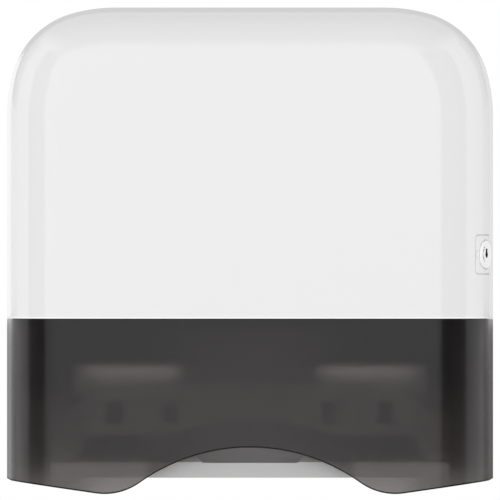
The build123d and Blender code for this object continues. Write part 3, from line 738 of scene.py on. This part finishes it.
# Hinge pins: two short pins of turned steel. They are pressed into the feet of the smoke shell and turn in
# the ears of the wall panel.
for side in ("left", "right"):
    pin = moulded_copy("hinge_pin_" + side, steel, MOULD_EDGE / 4)
    stands_for(pin, "cover", "steel", "hinge_pin_" + side)

# Seam band: a dark grey strip bonded inside both shells, which holds them together along the seam. It doesn't
# show through the smoke.
band = moulded_copy("seam_band", slate_plastic, MOULD_EDGE / 2)
stands_for(band, "cover", "dark_plastic", "seam_band")

# Lock facing: a thin white square let into the flank flush with it. The round opening of the lock is cut in
# it, with a small bump at the side for the pointer tab.
POINTER_RADIUS = 0.0026
POINTER_GAP = 0.0003
FINE_EDGE = 0.00012
facing = lock_square("lock_facing", PLATE_SIZE, PLATE_CORNER, -BOSS_DEPTH, BOSS_DEPTH)
cut(facing, flank_core("facing_front", 0.0), "INTERSECT")
cut(facing, flank_core("facing_back", PLATE_FACING))
cut(facing, lock_bar("ring_opening", RING_RADIUS, -2 * BOSS_DEPTH, 2 * BOSS_DEPTH))


def pointer_bar(name, radius, low, high):
    """Small round bar beside the lock, on the side that faces the front."""
    bar = lock_bar(name, radius, low, high, 48)
    bar.data.transform(Matrix.Translation(lock_side * RING_RADIUS))
    return bar


cut(facing, pointer_bar("pointer_opening", POINTER_RADIUS, -2 * BOSS_DEPTH, 2 * BOSS_DEPTH))
soften(facing, FINE_EDGE)
tab = pointer_bar("pointer_tab", POINTER_RADIUS - POINTER_GAP, -BOSS_DEPTH, BOSS_DEPTH)
cut(tab, flank_core("tab_front", 0.0), "INTERSECT")
cut(tab, flank_core("tab_back", PLATE_FACING))
cut(tab, lock_bar("ring_opening", RING_RADIUS - POINTER_GAP, -2 * BOSS_DEPTH, 2 * BOSS_DEPTH))
soften(tab, FINE_EDGE)
join(facing, tab)
facing.data.materials.append(white_gloss)
stands_for(facing, "cover", "white_gloss", "lock_escutcheon")

# Lock housing and nut: a zinc barrel with a white-coated flange, pushed through the flank from outside and
# held by a hexagon nut on the boss behind it.
ZINC = (0.2, 0.2, 0.2)
ZINC_DULL = (0.14, 0.14, 0.14)
ZINC_ROUGHNESS = 0.45
LOCK_WHITE = (0.96, 0.96, 0.96)
LOCK_WHITE_SHADE = (0.94, 0.94, 0.94)
LOCK_WHITE_ROUGHNESS = 0.3
lock_metal = turned_metal("lock_metal", ZINC, ZINC_DULL, ZINC_ROUGHNESS)
lock_white = grained_plastic(
    "lock_white", LOCK_WHITE, LOCK_WHITE_SHADE, LOCK_WHITE_ROUGHNESS, GRAIN_HEIGHT / 4
)
housing = moulded_copy("lock_housing", lock_metal, FINE_EDGE)
housing.data.materials.append(lock_white)
for face in housing.data.polygons:
    if (face.center - lock_spot).dot(lock_out) > ring_floor - FLANGE_THICKNESS / 4:
        face.material_index = 1
stands_for(housing, "cover", "lock_metal", "lock_housing")
nut = moulded_copy("lock_nut", steel, FINE_EDGE)
stands_for(nut, "cover", "steel", "lock_nut")

# Lock barrel: a white moulded disc with the keyhole and a turning groove, pressed on a zinc shaft whose
# square end carries the cam. The insides of the keyhole and the groove are painted black as painted shade.
DISC_RADIUS = 0.0086
DISC_EDGE = 0.0005
SHAFT_RADIUS = 0.005
BODY_LENGTH = 0.015
SQUARE = 0.006
SQUARE_LENGTH = 0.00215
KEY_RADIUS = 0.002
KEY_SLOT = 0.0036
KEY_WIDTH = 0.0026
KEY_DEPTH = 0.006
GROOVE_RADIUS = 0.0056
GROOVE_WIDTH = 0.0004
GROOVE_HALF_TURN = math.radians(55)
barrel = lock_bar("lock_disc", DISC_RADIUS, DISC_PROUD - DISC_THICKNESS + SEAT_GAP, DISC_PROUD)
face_place = lock_spot + lock_out * DISC_PROUD
rim_plane = face_place.dot(lock_out) - DISC_EDGE / 9
mark(barrel, "EDGE", lambda a, b: min(a.dot(lock_out), b.dot(lock_out)) > rim_plane)
bpy.ops.mesh.bevel(offset=DISC_EDGE, segments=4, affect="EDGES")
bpy.ops.object.mode_set(mode="OBJECT")
cut(barrel, lock_bar("keyhole", KEY_RADIUS, DISC_PROUD - KEY_DEPTH, BOSS_DEPTH, 40))
bpy.ops.object.select_all(action="DESELECT")
bpy.ops.mesh.primitive_cube_add(size=1.0, location=(KEY_SLOT / 2, 0.0, 0.0))
slot_bar = bpy.context.active_object
for vertex in slot_bar.data.vertices:
    vertex.co = (vertex.co.x * KEY_SLOT, vertex.co.y * KEY_WIDTH, vertex.co.z * 2 * BOSS_DEPTH)
cut(barrel, on_lock("key_slot"))
bpy.ops.object.select_all(action="DESELECT")
bpy.ops.mesh.primitive_torus_add(
    major_radius=GROOVE_RADIUS, minor_radius=GROOVE_WIDTH, major_segments=72, minor_segments=10
)
groove = bpy.context.active_object
mark(groove, "VERT", lambda place: abs(math.atan2(place.x, place.y)) > GROOVE_HALF_TURN)
bpy.ops.mesh.delete(type="VERT")
bpy.ops.mesh.select_all(action="SELECT")
bpy.ops.mesh.region_to_loop()
bpy.ops.mesh.edge_face_add()
bpy.ops.object.mode_set(mode="OBJECT")
for vertex in groove.data.vertices:
    vertex.co.z += DISC_PROUD
groove = on_lock("groove")
turn_out(groove)
cut(barrel, groove)
soften(barrel, FINE_EDGE / 2)
shaft = lock_bar("lock_shaft", SHAFT_RADIUS, -BODY_LENGTH, DISC_PROUD - DISC_THICKNESS + SEAT_GAP, 64)
cut(shaft, lock_bar("key_well", KEY_RADIUS, DISC_PROUD - KEY_DEPTH, BOSS_DEPTH, 40))
soften(shaft, FINE_EDGE)
square_end = lock_square(
    "square_end", SQUARE, FINE_EDGE * 4, -BODY_LENGTH - SQUARE_LENGTH, -BODY_LENGTH + SEAT_GAP
)
soften(square_end, FINE_EDGE)
barrel.data.materials.append(lock_white)
barrel.data.materials.append(dark_plastic)
# Faces inside the keyhole and the groove take the black finish as painted shade in these recesses.
for face in barrel.data.polygons:
    seen_from = face.center - face_place
    depth = seen_from.dot(lock_out)
    beside = (seen_from - lock_out * depth).length
    near_groove = abs(beside - GROOVE_RADIUS) < 2 * GROOVE_WIDTH
    in_groove = near_groove and -2 * GROOVE_WIDTH < depth < -GROOVE_WIDTH / 4
    in_keyhole = beside < KEY_SLOT + KEY_RADIUS and SEAT_GAP - DISC_THICKNESS < depth < -FINE_EDGE
    if in_groove or in_keyhole:
        face.material_index = 1
shaft.data.materials.append(lock_metal)
square_end.data.materials.append(lock_metal)
join(barrel, shaft, square_end)
stands_for(barrel, "lock", "white_gloss", "lock_barrel")

# Lock cam: a stamped steel tongue on the barrel's square end, held by a small screw. It turns behind the
# strike plate.
cam = moulded_copy("lock_cam", steel, FINE_EDGE)
stands_for(cam, "lock", "steel", "lock_cam")
cam_screw = moulded_copy("cam_screw", steel, FINE_EDGE)
stands_for(cam_screw, "lock", "steel", "cam_screw")

# Camera: the dispenser hangs on a white wall that is only light and background. A long lens stands level with
# its middle, so that the flanks show as thin strips.
PHOTO_PIXELS = 500
PHOTO_WIDTH = 0.3086
PHOTO_MIDDLE_ROW = 250
PHOTO_FOOT_ROW = 492
LENS_DISTANCE = 12.0
SENSOR = 36.0
FAR_CLIP = 100.0
photo_scale = PHOTO_WIDTH / PHOTO_PIXELS
camera_data = bpy.data.cameras.new("camera")
camera_data.sensor_width = SENSOR
camera_data.lens = SENSOR * LENS_DISTANCE / PHOTO_WIDTH
camera_data.clip_end = FAR_CLIP
camera = bpy.data.objects.new("camera", camera_data)
camera.location = (0.0, -LENS_DISTANCE, low_corner[2] + (PHOTO_FOOT_ROW - PHOTO_MIDDLE_ROW) * photo_scale)
camera.rotation_euler = (math.pi / 2, 0.0, 0.0)
bpy.context.scene.collection.objects.link(camera)
bpy.context.scene.camera = camera
bpy.context.scene.view_settings.view_transform = "Standard"

# Floor and room: a plain pale floor under the dispenser, and an even white room that the camera, glass and
# gloss see at full white.
FLOOR_DROP = 0.45
FLOOR_SIZE = 24.0
FLOOR_WHITE = (0.9, 0.9, 0.895, 1.0)
FLOOR_SHADE = (0.92, 0.92, 0.92, 1.0)
FLOOR_CLOUD_SCALE = 3.0
FLOOR_ROUGHNESS = 0.8
PAPER_WHITE = (1.0, 1.0, 1.0, 1.0)
ROOM_LEVEL = 0.8
bpy.ops.object.select_all(action="DESELECT")
bpy.ops.mesh.primitive_plane_add(size=FLOOR_SIZE, location=(0.0, 0.0, low_corner[2] - FLOOR_DROP))
floor = bpy.context.active_object
floor.name = floor.data.name = "floor"
bpy.ops.object.transform_apply(location=True, rotation=True, scale=True)
floor_paper = Finish("floor_paper")
paper_cloud = floor_paper.add("ShaderNodeTexNoise", Scale=FLOOR_CLOUD_SCALE).outputs["Fac"]
paper_tint = floor_paper.mix(paper_cloud, FLOOR_WHITE, FLOOR_SHADE)
floor_shader = floor_paper.add("ShaderNodeBsdfPrincipled", Base_Color=paper_tint, Roughness=FLOOR_ROUGHNESS)
floor.data.materials.append(floor_paper.done(floor_shader))

world = bpy.data.worlds.new("studio")
bpy.context.scene.world = world
world.use_nodes = True
room = Finish("room", world.node_tree)
rays = room.add("ShaderNodeLightPath")
camera_ray = Value(room, rays.outputs["Is Camera Ray"])
through_ray = Value(room, rays.outputs["Is Transmission Ray"])
gloss_ray = Value(room, rays.outputs["Is Glossy Ray"])
seen = camera_ray.largest(through_ray).largest(gloss_ray)
paper = room.add("ShaderNodeBackground", Color=PAPER_WHITE, Strength=seen * (1.0 - ROOM_LEVEL) + ROOM_LEVEL)
room.add("ShaderNodeOutputWorld", Surface=paper.outputs[0])

# Soft lamps: three large panels, one in front and one at each side. They are plain diffuse light, so
# reflections don't show them.
LAMP_SIZE = 2.6
SOFT_LAMPS = (
    ("front_lamp", (-0.5, -3.2, 0.9), 24.0),
    ("left_lamp", (-3.0, -0.6, 0.3), 12.0),
    ("right_lamp", (3.0, -0.8, 0.3), 12.0),
)
for lamp_name, lamp_place, lamp_power in SOFT_LAMPS:
    lamp_data = bpy.data.lights.new(lamp_name, "AREA")
    lamp_data.size = LAMP_SIZE
    lamp_data.energy = lamp_power
    lamp = bpy.data.objects.new(lamp_name, lamp_data)
    lamp.location = lamp_place
    lamp.rotation_euler = Vector(lamp_place).to_track_quat("Z", "Y").to_euler()
    lamp.visible_glossy = False
    lamp.visible_camera = False
    bpy.context.scene.collection.objects.link(lamp)

# Dark flags: two curved black cloths that only reflections meet. They draw the soft dark bands down the
# rounded edges.
FLAG_DISTANCE = 2.0
FLAG_FOOT = -3.0
FLAG_TOP = 2.0
FLAG_LEVEL = 0.02
FLAGS = (("flag_left", -82.0, -45.0), ("flag_right", 17.0, 69.0))
FLAG_STEPS = 12
black_cloth = Finish("black_cloth")
flag_cloth = black_cloth.done(black_cloth.add("ShaderNodeEmission", Color=PAPER_WHITE, Strength=FLAG_LEVEL))
for flag_name, near_angle, far_angle in FLAGS:
    bpy.ops.object.select_all(action="DESELECT")
    bpy.ops.mesh.primitive_grid_add(x_subdivisions=FLAG_STEPS, y_subdivisions=1, size=1.0)
    flag = bpy.context.active_object
    flag.name = flag.data.name = flag_name
    for vertex in flag.data.vertices:
        turn = math.radians(near_angle + (far_angle - near_angle) * (vertex.co.x + 0.5))
        across, out = FLAG_DISTANCE * math.sin(turn), -FLAG_DISTANCE * math.cos(turn)
        vertex.co = (across, out, FLAG_TOP if vertex.co.y > 0 else FLAG_FOOT)
    flag.data.materials.append(flag_cloth)
    flag.visible_camera = False
    flag.visible_diffuse = False
    flag.visible_transmission = False
    flag.visible_shadow = False

# Cards behind the dispenser. The pale ones are met only by reflections at grazing angles and keep the flanks
# apart from the background. The dark ones are met only by what passes through the smoke shell, and stand for
# the wall in the dispenser's shadow.
CARD_PLACE = 2.5
CARD_REACH = 4.0
CARD_SEAM = -0.072
CARD_TOP = 0.2
WALL_CARD_GAP = 0.004
WALL_CARD_PLACE = high_corner[1] + WALL_CARD_GAP
CARDS = (
    ("left_low_card", (-CARD_REACH, 0.0), (-CARD_REACH, CARD_SEAM), 0.42, True),
    ("right_low_card", (0.0, CARD_REACH), (-CARD_REACH, CARD_SEAM), 0.16, True),
    ("left_card", (-CARD_REACH, 0.0), (CARD_SEAM, CARD_TOP), 0.95, True),
    ("right_card", (0.0, CARD_REACH), (CARD_SEAM, CARD_TOP), 0.75, True),
    ("top_card", (-CARD_REACH, CARD_REACH), (CARD_TOP, CARD_REACH), 0.6, True),
    ("wall_card", (-0.13, 0.13), (-0.155, 0.11), 0.02, False),
    ("left_foot_card", (-0.16, -0.1), (-0.19, -0.155), 0.4, False),
    ("right_foot_card", (0.1, 0.16), (-0.19, -0.155), 0.4, False),
)
for card_name, (left, right), (foot, top), card_level, reflected in CARDS:
    card_paper = Finish(card_name)
    card_tone = card_paper.done(card_paper.add("ShaderNodeEmission", Color=PAPER_WHITE, Strength=card_level))
    bpy.ops.object.select_all(action="DESELECT")
    bpy.ops.mesh.primitive_plane_add(size=1.0, rotation=(math.pi / 2, 0.0, 0.0))
    card = bpy.context.active_object
    card.name = card.data.name = card_name
    bpy.ops.object.transform_apply(location=True, rotation=True, scale=True)
    for vertex in card.data.vertices:
        across = right if vertex.co.x > 0 else left
        vertex.co = (across, CARD_PLACE if reflected else WALL_CARD_PLACE, top if vertex.co.z > 0 else foot)
    card.data.materials.append(card_tone)
    card.visible_camera = False
    card.visible_diffuse = False
    card.visible_shadow = False
    card.visible_glossy = reflected
    card.visible_transmission = not reflected

# Ceiling cloth: a dark sheet overhead that only reflections meet, paler towards its edges. It shades the top
# rounding from its rear edge down to the flat front.
CLOTH_HEIGHT = 2.4
CLOTH_HALF_WIDTH = 2.4
CLOTH_FRONT = 2.8
CLOTH_PLAIN = 0.45
CLOTH_REAR_LEVEL = 0.5
CLOTH_BLACK = (0.0, 0.0, 0.0, 1.0)
ceiling_cloth = Finish("ceiling_cloth")
cloth_place = ceiling_cloth.add("ShaderNodeTexCoord").outputs["Object"]
cloth_spot = ceiling_cloth.add("ShaderNodeSeparateXYZ", Vector=cloth_place)
cloth_across = Value(ceiling_cloth, cloth_spot.outputs["X"]) * (1 / CLOTH_HALF_WIDTH)
cloth_along = Value(ceiling_cloth, cloth_spot.outputs["Y"])
cloth_far = cloth_across.largest(cloth_across * -1.0).largest(cloth_along * (-1 / CLOTH_FRONT))
smooth_steps = {"interpolation_type": "SMOOTHSTEP"}
cloth_light = ceiling_cloth.value(
    "ShaderNodeMapRange", "Result", smooth_steps, Value=cloth_far, From_Min=CLOTH_PLAIN
)
cloth_rear = ceiling_cloth.value(
    "ShaderNodeMapRange", "Result", Value=cloth_along, From_Max=CARD_PLACE, To_Max=CLOTH_REAR_LEVEL
)
cloth_tint = ceiling_cloth.mix(cloth_light.largest(cloth_rear), CLOTH_BLACK, PAPER_WHITE)
bpy.ops.object.select_all(action="DESELECT")
bpy.ops.mesh.primitive_plane_add(size=1.0)
cloth = bpy.context.active_object
cloth.name = cloth.data.name = "ceiling_cloth"
for vertex in cloth.data.vertices:
    across = CLOTH_HALF_WIDTH if vertex.co.x > 0 else -CLOTH_HALF_WIDTH
    vertex.co = (across, CARD_PLACE if vertex.co.y > 0 else -CLOTH_FRONT, CLOTH_HEIGHT)
cloth.data.materials.append(ceiling_cloth.done(ceiling_cloth.add("ShaderNodeEmission", Color=cloth_tint)))
cloth.visible_camera = False
cloth.visible_diffuse = False
cloth.visible_transmission = False
cloth.visible_shadow = False

# Inner lamps: weak strips behind the smoke shell's front, which stand for the daylight that it lets in over
# the rests, the plate, the space behind the plate and the tray.
INNER_LAMPS = (
    ("plate_lamp", (0.0, -0.0958, -0.118), (0.2, 0.03), 0.0012),
    ("well_lamp", (0.0, -0.07, -0.118), (0.18, 0.03), 0.0026),
    ("middle_lamp", (0.0, -0.086, -0.137), (0.08, 0.008), 0.008),
    ("left_rest_lamp", (-0.072, -0.0958, -0.092), (0.056, 0.006), 0.0026),
    ("right_rest_lamp", (0.072, -0.0958, -0.092), (0.056, 0.006), 0.0026),
    ("left_foot_lamp", (-0.096, -0.0958, -0.156), (0.066, 0.012), 0.0018),
    ("right_foot_lamp", (0.096, -0.0958, -0.156), (0.066, 0.012), 0.0018),
)
for lamp_name, lamp_place, lamp_size, lamp_power in INNER_LAMPS:
    lamp_data = bpy.data.lights.new(lamp_name, "AREA")
    lamp_data.shape = "RECTANGLE"
    lamp_data.size, lamp_data.size_y = lamp_size
    lamp_data.energy = lamp_power
    lamp = bpy.data.objects.new(lamp_name, lamp_data)
    lamp.location = lamp_place
    lamp.rotation_euler = (math.pi / 2, 0.0, 0.0)
    lamp.visible_glossy = False
    lamp.visible_camera = False
    lamp.visible_transmission = False
    bpy.context.scene.collection.objects.link(lamp)
